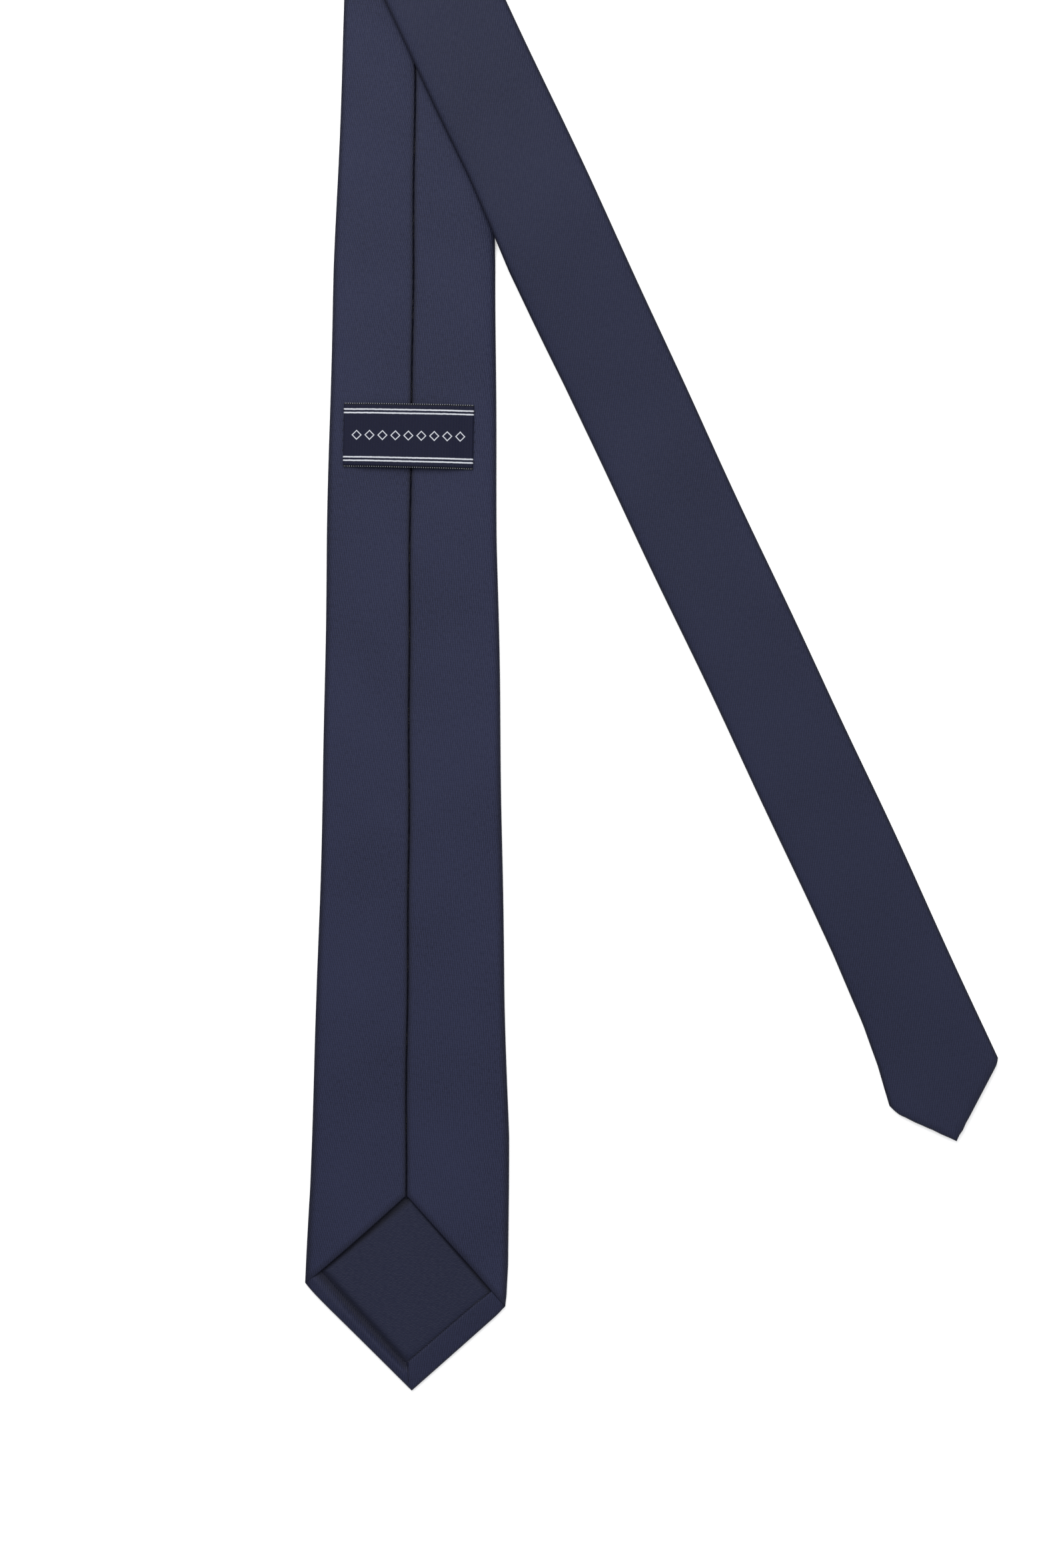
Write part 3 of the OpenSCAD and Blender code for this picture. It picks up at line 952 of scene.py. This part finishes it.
class TIE_OT_neck_shell(bpy.types.Operator):
    """Models the neck: the narrow stretch between the join seams, with its soft fold"""
    bl_idname = "tie.neck_shell"
    bl_label = "Neck"

    def execute(self, context):
        each = len(JOIN_ROWS) + round((FOLD_AT - BLADE_JOIN) / ROW_STEP)
        rows = 2 * each + FOLD_ROWS
        shell = cloth_grid("neck", len(COLUMNS), rows,
                           lambda column, row: neck_point(COLUMNS[column], row, rows), swells_out)
        thicken(shell, sizes().cloth / MM)
        bend_round_fold(shell)
        stands_in(shell, material_of("Blade satin", blade_satin), "shell_satin",
                  "neck_shell_lower", "neck_shell_upper")
        return {"FINISHED"}


class TIE_OT_tail_shell(bpy.types.Operator):
    """Models the narrow tail, front side up, which crosses the blade and lies on the table"""
    bl_idname = "tie.tail_shell"
    bl_label = "Tail"

    def execute(self, context):
        shell = pointed_shell("tail", TAIL_END, LENGTH - TAIL_JOIN)
        bend_at_tail_lift(shell)
        stands_in(shell, material_of("Tail satin", tail_satin), "shell_satin",
                  "tail_shell_upper", "tail_shell_lower")
        return {"FINISHED"}


class TIE_OT_interlining(bpy.types.Operator):
    """Models the wool interlining inside the blade, the neck and the tail"""
    bl_idname = "tie.interlining"
    bl_label = "Interlining"

    def execute(self, context):
        wool = material_of("Napped wool interlining", napped_wool)
        stretches = [("blade_interlining", bend_at_blade_lift, ["wide_interlining"]),
                     ("neck_interlining", bend_round_fold,
                      ["neck_interlining_lower", "neck_interlining_upper"]),
                     ("tail_interlining_pad", bend_at_tail_lift, ["tail_interlining"])]
        for name, bend, nodes in stretches:
            piece = self.stretch(name)
            thicken(piece, sizes().interlining / MM, 0.0)
            bend(piece)
            stands_in(piece, wool, "interlining_wool", *nodes)
        return {"FINISHED"}

    def stretch(self, name):
        """One stretch, inside the shell by a margin, and short of the join seams and the hem."""
        columns, row_step = 15, 1.2
        margin, middle, short, from_hem = 3.2, 1.05, 0.5, 4.0
        neck = name.startswith("neck")
        end = WIDE_END if name.startswith("blade") else TAIL_END
        join = BLADE_JOIN if end is WIDE_END else LENGTH - TAIL_JOIN
        start, stop = (BLADE_JOIN, TAIL_JOIN) if neck else (3.0, join)
        flat_rows = round((stop - start) / row_step)
        rows = flat_rows + (FOLD_ROWS if neck else 0)

        def placing(column, row):
            share = 2 * column / (columns - 1) - 1
            side = -1 if share < 0 else 1
            if neck:
                half = flat_rows // 2
                fold_along = FOLD_AT - math.tan(FOLD_TURN) * share * (NECK_HALF - margin)
                if row < half:
                    along = start + short + (fold_along - start - short) * row / (half - 1)
                    across = share * (half_width(side, along) - margin)
                    return before_fold(along, across, middle), (across, along)
                if row < half + FOLD_ROWS:
                    across = share * (half_width(side, FOLD_AT) - margin)
                    return laid(FOLD_AT, across, middle, fold_arc(row - half)), (across, FOLD_AT)
                back = (rows - 1 - row) / (rows - 1 - half - FOLD_ROWS)
                along = stop - short + (fold_along - stop + short) * back
                across = share * (half_width(side, along) - margin)
                return draped(TURN_OVER @ past_fold(along, across, middle)), (across, along)
            near = share * abs(end["left" if side < 0 else "right"][0])
            first = hem_edge(end, near) + from_hem
            along = along_from(end, first + (join - short - first) * row / (rows - 1))
            across = share * (half_width(side, along) - margin)
            return laid(along, across, middle), (across, along)

        return cloth_grid(name, columns, rows, placing, faces_up)


class TIE_OT_tippings(bpy.types.Operator):
    """Models the lining panels that show inside both points, and their seam threads"""
    bl_idname = "tie.tippings"
    bl_label = "Tippings"

    # How far the panel and its thread stop short of the tie's sides.
    short_of_side = 1.2

    def execute(self, context):
        satin = material_of("Lining satin", lining_satin)
        polyester = material_of("Spun polyester thread", spun_thread)
        ends = [("wide", WIDE_END, "blade_end"), ("tail", TAIL_END, "tail_end")]
        for name, end, body in ends:
            panel = self.panel(name, end)
            thicken(panel, sizes().lining / MM)
            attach(panel, body)
            stands_in(panel, satin, "lining_satin", name + "_tipping")
            thread = self.seam_thread(name, end)
            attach(thread, body)
            stands_in(thread, polyester, "sewing_thread", name + "_tipping_seam")
        return {"FINISHED"}

    def inside_edges(self, end, distance, across):
        """How far a place on the lining is from the hem and from the flap above it, and how far
        out it is as a share of the end's half width."""
        corner = end["left" if across < 0 else "right"]
        share = min(1.0, abs(across / corner[0]))
        flap = corner[1] + (end["apex"] - corner[1]) * (1 - share)
        return max(0.0, distance - hem_edge(end, across)), max(0.0, flap - distance), share

    def level(self, end, distance, across):
        """Height of the lining, just under the hem's level. It sags a little in its middle, and
        dips along the rolled left hem and under the two flap edges."""
        from_hem, from_flap, share = self.inside_edges(end, distance, across)
        groove = (0.50 if across < 0 else 0.15) * math.exp(-(from_hem / 1.6) ** 2)
        groove = max(groove, 0.35 * math.exp(-(from_flap / 1.2) ** 2))
        return FLOOR_CLEAR + thickness(distance) * 0.63 - 0.10 * (1 - share) - groove

    def shade(self, end, distance, across):
        """How much the lining is shaded, under the flap edges and beside the rolled left hem."""
        from_hem, from_flap, _ = self.inside_edges(end, distance, across)
        reach = 2.2 if across < 0 and across < end["point"][0] - 1.8 else 0.4
        return 0.75 * max(math.exp(-(from_flap / 1.3) ** 2), math.exp(-(from_hem / reach) ** 2))

    def panel(self, name, end):
        """The panel's two lower edges meet the hem, and its top runs on under the flaps."""
        columns, rows, under_hem, under_flap = 57, 84, 2.4, 7.0

        def placing(column, row):
            share = 2 * column / (columns - 1) - 1
            corner = end["left" if share < 0 else "right"]
            across = 0.93 * share * (abs(corner[0]) - self.short_of_side)
            bottom = hem_edge(end, across) - under_hem
            top = corner[1] + (end["apex"] - corner[1]) * (1 - abs(share)) + under_flap
            distance = bottom + (top - bottom) * row / (rows - 1)
            along = along_from(end, distance)
            height = self.level(end, distance, across)
            return laid(along, across, height), (across, along), self.shade(end, distance, across)

        # The side that shows is the tie's back: up on the blade, down on the turned tail.
        shows = faces_up if end is WIDE_END else (lambda bm: not faces_up(bm))
        return cloth_grid(name + "_lining", columns, rows, placing, shows)

    def seam_thread(self, name, end):
        """A thread sunk in the groove between hem and lining, from corner to corner."""
        columns, rows, broad, high = 61, 9, 0.17, 0.12

        def placing(column, row):
            share = 2 * column / (columns - 1) - 1
            corner = end["left" if share < 0 else "right"]
            around = 2 * math.pi * row / (rows - 1)
            across = 0.84 * share * (abs(corner[0]) - self.short_of_side)
            distance = hem_edge(end, across) - 0.1 + broad * math.cos(around)
            along = along_from(end, distance)
            height = self.level(end, distance, across) + 0.05 + high * math.sin(around)
            return laid(along, across, height), (across, along)

        return cloth_grid(name + "_lining_seam", columns, rows, placing, swells_out)


class TIE_OT_keeper(bpy.types.Operator):
    """Models the woven keeper ribbon with its folded ends, and the tacks that hold it"""
    bl_idname = "tie.keeper"
    bl_label = "Keeper loop"

    # The ribbon sits a degree off square, and this far along from the middle of its solid.
    turn_degrees = -1.0
    shift = -0.6
    # The points of the ribbon's profile in each turned-under end.
    end_points = 7

    def execute(self, context):
        low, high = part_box("keeper_loop")
        self.centre = Vector(((low.x + high.x) / 2 / MM, (low.y + high.y) / 2 / MM + self.shift,
                              0.0))
        self.top = high.z / MM
        ribbon = self.ribbon()
        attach(ribbon, "blade_end")
        stands_in(ribbon, material_of("Woven jacquard ribbon", woven_ribbon), "woven_band",
                  "keeper_loop")
        tacks = self.tacks()
        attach(tacks, "blade_end")
        stands_in(tacks, material_of("Spun polyester thread", spun_thread), "sewing_thread",
                  "keeper_stitches")
        return {"FINISHED"}

    def placed(self, x, y, z):
        """A place on the blade from the ribbon's own middle."""
        turn = math.radians(self.turn_degrees)
        return Vector((self.centre.x + x * math.cos(turn) - y * math.sin(turn),
                       self.centre.y + x * math.sin(turn) + y * math.cos(turn), z))

    def profile(self, steps):
        """The ribbon's run from one turned-under end to the other, as (x, z)."""
        half = sizes().keeper_width / MM / 2
        nose, turned_under, ramp = 0.34, 3.0, 8.5
        base = THICK + 0.16
        turned = [(-half + turned_under, base), (-half + turned_under - 1.4, base)]
        for k in range(1, self.end_points - 1):
            angle = math.pi * k / (self.end_points - 1)
            turned.append((-half + nose - nose * math.sin(angle), base + nose * (1 - math.cos(angle))))
        flat = base + 2 * nose
        rise = self.top - flat
        arch = []
        for k in range(steps + 1):
            x = -half + nose + (2 * half - 2 * nose) * k / steps
            edge = (half - nose - abs(x)) / ramp
            arch.append((x, flat + rise * smooth(edge) * (1 - 0.10 * (x / half) ** 2)))
        return turned + arch + [(-x, z) for x, z in reversed(turned)]

    def ribbon(self):
        """The ribbon, arched over the blade, with its two ends turned under."""
        run = self.profile(236)
        half = sizes().keeper_width / MM / 2
        half_length = sizes().keeper_length / MM / 2
        rows, picot_pitch = 25, 0.66

        def placing(column, row):
            x, z = run[column]
            across = 2 * row / (rows - 1) - 1
            # Small picots along the heat-cut edges, and a slightly slack lower edge.
            phase = math.pi * x / picot_pitch
            picot = 0.11 * math.cos(2 * phase) * smooth((abs(across) - 0.86) / 0.14)
            lift = 0.16 * max(0.0, -across) ** 2 * (1 - (x / half) ** 2)
            y = across * half_length + math.copysign(picot, across)
            ruffle = 0.05 * math.sin(phase + 1.0) * smooth((abs(across) - 0.8) / 0.2)
            slack = 0.12 * (x / half) * max(0.0, -across)
            turned_under = not self.end_points <= column < len(run) - self.end_points
            pattern_x = x * 1.2 if turned_under else x
            return self.placed(x, y - slack, z + lift + ruffle), (pattern_x, across * half_length)

        ribbon = cloth_grid("keeper_ribbon", len(run), rows, placing, faces_up)
        thicken(ribbon, sizes().ribbon / MM)
        return ribbon

    def tacks(self):
        """Twelve small tacks, six over each short end of the ribbon."""
        bm = bmesh.new()
        half = sizes().keeper_width / MM / 2
        pitch = (sizes().keeper_length / MM - 4) / 5
        for side in (-1, 1):
            for k in range(6):
                made = bmesh.ops.create_uvsphere(bm, u_segments=10, v_segments=6, radius=1.0)
                place = self.placed(side * (half - 0.15), (k - 2.5) * pitch, THICK + 0.30)
                scale = Matrix.Diagonal((0.55, 0.20, 0.30, 1.0))
                turn = Matrix.Rotation(math.radians(18 * side), 4, "Z")
                matrix = (Matrix.Scale(MM, 4) @ Matrix.Translation(place) @ turn @ scale)
                bmesh.ops.transform(bm, matrix=matrix, verts=made["verts"])
        return finished("keeper_tacks", bm)


class TIE_OT_stitching(bpy.types.Operator):
    """Models the slip stitch inside the back seam, and the threads of the two join seams"""
    bl_idname = "tie.stitching"
    bl_label = "Stitching"

    def execute(self, context):
        thread = material_of("Spun polyester thread", spun_thread)
        stretches = [("blade_slip_stitch", bend_at_blade_lift, ["wide_slip_stitch"]),
                     ("neck_slip_stitch", bend_round_fold,
                      ["neck_slip_stitch_lower", "neck_slip_stitch_upper"]),
                     ("tail_slip_stitch_run", bend_at_tail_lift, ["tail_slip_stitch"])]
        for name, bend, nodes in stretches:
            run = self.slip_stitch(name)
            bend(run)
            stands_in(run, thread, "sewing_thread", *nodes)
        for name, at, bend in (("blade_join_seam", BLADE_JOIN, bend_at_blade_lift),
                               ("tail_join_seam", TAIL_JOIN, bend_at_tail_lift)):
            seam = self.join_thread(name + "_thread", at)
            bend(seam)
            stands_in(seam, thread, "sewing_thread", name)
        return {"FINISHED"}

    def slip_stitch(self, name):
        """One long loose running stitch, which dips down to the interlining every twelve mm."""
        columns, row_step, stitch, radius, level = 7, 4.0, 12.0, 0.13, 1.56
        neck = name.startswith("neck")
        if name.startswith("blade"):
            start, stop = WIDE_END["apex"] + 10, BLADE_JOIN - 1
        elif neck:
            start, stop = BLADE_JOIN + 1, TAIL_JOIN - 1
        else:
            start, stop = TAIL_JOIN + 1, LENGTH - TAIL_END["apex"] - 10
        half = round((stop - start) / row_step)
        rows = 2 * half + (FOLD_ROWS if neck else 0)

        def placing(column, row):
            around = 2 * math.pi * column / (columns - 1)
            if neck and half <= row < half + FOLD_ROWS:
                across = radius * math.cos(around)
                height = level + radius * math.sin(around)
                return laid(FOLD_AT, across, height, fold_arc(row - half)), (across, FOLD_AT)
            if neck and row < half:
                along = start + (FOLD_AT - start) * row / (half - 1)
            elif neck:
                back = (rows - 1 - row) / (rows - 1 - half - FOLD_ROWS)
                along = stop + (FOLD_AT - stop) * back + 1e-4
            else:
                along = start + (stop - start) * row / (rows - 1)
            wander = smooth(abs(along - FOLD_AT) / 20.0)
            across = seam_at(along) + radius * math.cos(around)
            across += 0.15 * math.sin(math.pi * along / stitch) * wander
            height = level + 0.10 * math.sin(2 * math.pi * along / stitch) * wander
            height += radius * math.sin(around)
            return laid(along, across, height), (across, along)

        return cloth_grid(name, columns, rows, placing, swells_out)

    def join_thread(self, name, at):
        """A thread that lies in the slanting groove between two shells, across the front."""
        columns, rows, radius = 41, 7, 0.12

        def placing(column, row):
            share = 2 * column / (columns - 1) - 1
            side = -1 if share < 0 else 1
            station = ("front", side, min(0.985, abs(share)), 0.0, 0.0)
            across = across_of(station, at)
            around = 2 * math.pi * row / (rows - 1)
            along = at + across + radius * math.cos(around)
            height = height_of(station, along, 0.30) + radius * math.sin(around)
            return laid(along, across, height), (across, along)

        return cloth_grid(name, columns, rows, placing, swells_out)


class TIE_PT_panel(bpy.types.Panel):
    """Lists the necktie's pieces"""
    bl_idname = "TIE_PT_panel"
    bl_label = "Necktie"
    bl_space_type = "VIEW_3D"
    bl_region_type = "UI"
    bl_category = "Necktie"

    def draw(self, context):
        for operator in OPERATORS:
            self.layout.operator(operator.bl_idname)
        for group in (context.scene.tie_sizes, context.scene.tie_colours, context.scene.tie_stage):
            column = self.layout.column()
            for name in group.__annotations__:
                column.prop(group, name)


OPERATORS = (TIE_OT_stage, TIE_OT_wide_shell, TIE_OT_neck_shell, TIE_OT_tail_shell,
             TIE_OT_interlining, TIE_OT_tippings, TIE_OT_keeper, TIE_OT_stitching)
CLASSES = (TieSizes, TieColours, StageSettings) + OPERATORS + (TIE_PT_panel,)


def register():
    for cls in CLASSES:
        bpy.utils.register_class(cls)
    bpy.types.Scene.tie_sizes = PointerProperty(type=TieSizes)
    bpy.types.Scene.tie_colours = PointerProperty(type=TieColours)
    bpy.types.Scene.tie_stage = PointerProperty(type=StageSettings)


def unregister():
    del bpy.types.Scene.tie_sizes
    del bpy.types.Scene.tie_colours
    del bpy.types.Scene.tie_stage
    for cls in reversed(CLASSES):
        bpy.utils.unregister_class(cls)


def main():
    register()
    for operator in OPERATORS:
        group, name = operator.bl_idname.split(".")
        getattr(getattr(bpy.ops, group), name)()


if __name__ == "__main__":
    main()
